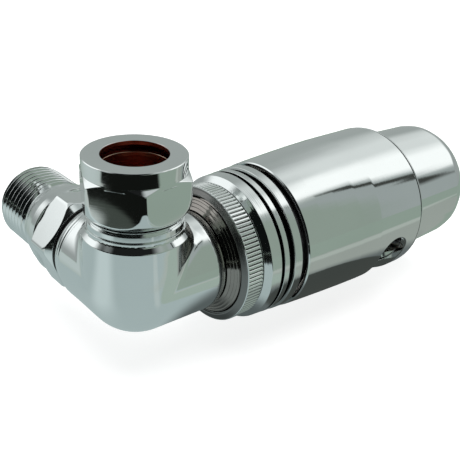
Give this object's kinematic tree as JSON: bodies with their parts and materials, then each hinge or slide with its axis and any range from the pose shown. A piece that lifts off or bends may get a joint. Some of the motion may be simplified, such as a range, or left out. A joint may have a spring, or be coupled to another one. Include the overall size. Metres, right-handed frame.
{
  "type": "thermostatic radiator valve",
  "caption": "Corner thermostatic radiator valve in polished chrome: compression pipe nut, hexagonal threaded tail, knurled ring and a barrel handwheel with vent slots.",
  "frame": {"origin": "the point where the centrelines of the pipe port, the radiator tail and the thermostatic head cross, inside the valve body", "axes": "+X out along the thermostatic head, +Y out along the radiator tail, +Z out along the pipe port"},
  "size_m": [0.1229, 0.0727, 0.0525],
  "materials": {
    "chrome_plate": "polished bright chrome plate",
    "bright_nickel": "turned and plated, slightly darker",
    "raw_brass": "turned",
    "stainless_steel": "ground",
    "spring_steel": "drawn wire",
    "copper_capsule": "drawn copper, dulled",
    "seal_rubber": "matt",
    "black_polymer": "moulded satin",
    "white_polymer": "moulded satin"
  },
  "bodies": {
    "valve": {"valve_body": "chrome_plate", "pipe_olive": "raw_brass", "radiator_tail": "chrome_plate", "tail_seal": "seal_rubber", "valve_bonnet": "bright_nickel", "bonnet_o_ring": "seal_rubber", "gland_nut": "raw_brass", "gland_o_ring": "seal_rubber", "spindle_guide": "raw_brass", "spindle_spring": "spring_steel", "ring_clip": "spring_steel", "head_base": "chrome_plate", "guide_sleeve": "black_polymer", "sleeve_circlip": "spring_steel"},
    "compression_nut": {"pipe_nut": "chrome_plate"},
    "union_ring": {"knurled_ring": "chrome_plate"},
    "handwheel": {"handwheel_barrel": "chrome_plate", "handwheel_liner": "white_polymer", "cap_trim_ring": "chrome_plate", "end_cap": "chrome_plate"},
    "carrier": {"sensor_carrier": "white_polymer", "sensor_capsule": "copper_capsule", "overtravel_spring": "spring_steel"},
    "plunger": {"capsule_piston": "stainless_steel", "piston_cup": "white_polymer", "push_pin": "white_polymer", "spindle": "stainless_steel", "spindle_collar": "stainless_steel", "disc_holder": "raw_brass", "disc_washer": "seal_rubber", "disc_screw": "raw_brass"}
  },
  "joints": [
    {"name": "handwheel_turn", "type": "hinge", "parent": "valve", "child": "handwheel", "pos_m": [0.038, 0, 0], "axis": [1, 0, 0], "range_deg": [-150, 150]},
    {"name": "carrier_slide", "type": "slide", "parent": "valve", "child": "carrier", "axis": [1, 0, 0], "range_m": [-0.00126, 0.00126], "deforming": ["spindle_spring"]},
    {"name": "thermal_stroke", "type": "slide", "parent": "carrier", "child": "plunger", "axis": [-1, 0, 0], "range_m": [0, 0.0006], "stiffness_N_per_m": 500, "deforming": ["overtravel_spring", "spindle_spring"]},
    {"name": "union_ring_turn", "type": "hinge", "parent": "valve", "child": "union_ring", "pos_m": [0.022, 0, 0], "axis": [1, 0, 0], "continuous": true},
    {"name": "compression_nut_turn", "type": "hinge", "parent": "valve", "child": "compression_nut", "pos_m": [0, 0, 0.0249], "axis": [0, 0, 1], "continuous": true}
  ],
  "couplings": [
    {"joint": "carrier_slide", "follows": "handwheel_turn", "m_per_rad": 0.00047746}
  ]
}
